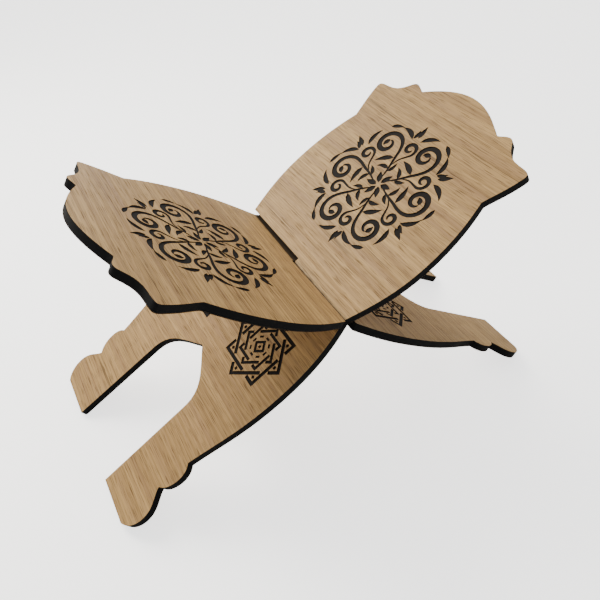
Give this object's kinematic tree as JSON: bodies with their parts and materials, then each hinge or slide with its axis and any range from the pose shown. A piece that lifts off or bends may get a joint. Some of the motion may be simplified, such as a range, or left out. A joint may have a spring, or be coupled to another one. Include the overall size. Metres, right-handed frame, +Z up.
{
  "type": "quran stand",
  "caption": "Low X-shaped folding book stand made of slotted veneered boards, with domed page rests, scalloped legs and pointed leg arches.",
  "frame": {"origin": "centre of the footprint, at floor level under the crossing", "axes": "+X from the left rest to the right rest, +Y along the crossing away from the reader, +Z up"},
  "size_m": [0.4838, 0.2294, 0.2844],
  "materials": {
    "oak_veneer": "satin lacquered light oak veneer",
    "black_core": "matt black fibreboard, laser cut"
  },
  "bodies": {
    "right_board": {"right_core": "black_core", "right_face_veneer": "oak_veneer", "right_back_veneer": "oak_veneer"},
    "left_board": {"left_core": "black_core", "left_face_veneer": "oak_veneer", "left_back_veneer": "oak_veneer"}
  },
  "joints": [
    {"name": "board_fold", "type": "hinge", "parent": "right_board", "child": "left_board", "pos_m": [0, 0, 0.15384], "axis": [0, 1, 0], "range_deg": [0, 51.2]}
  ]
}
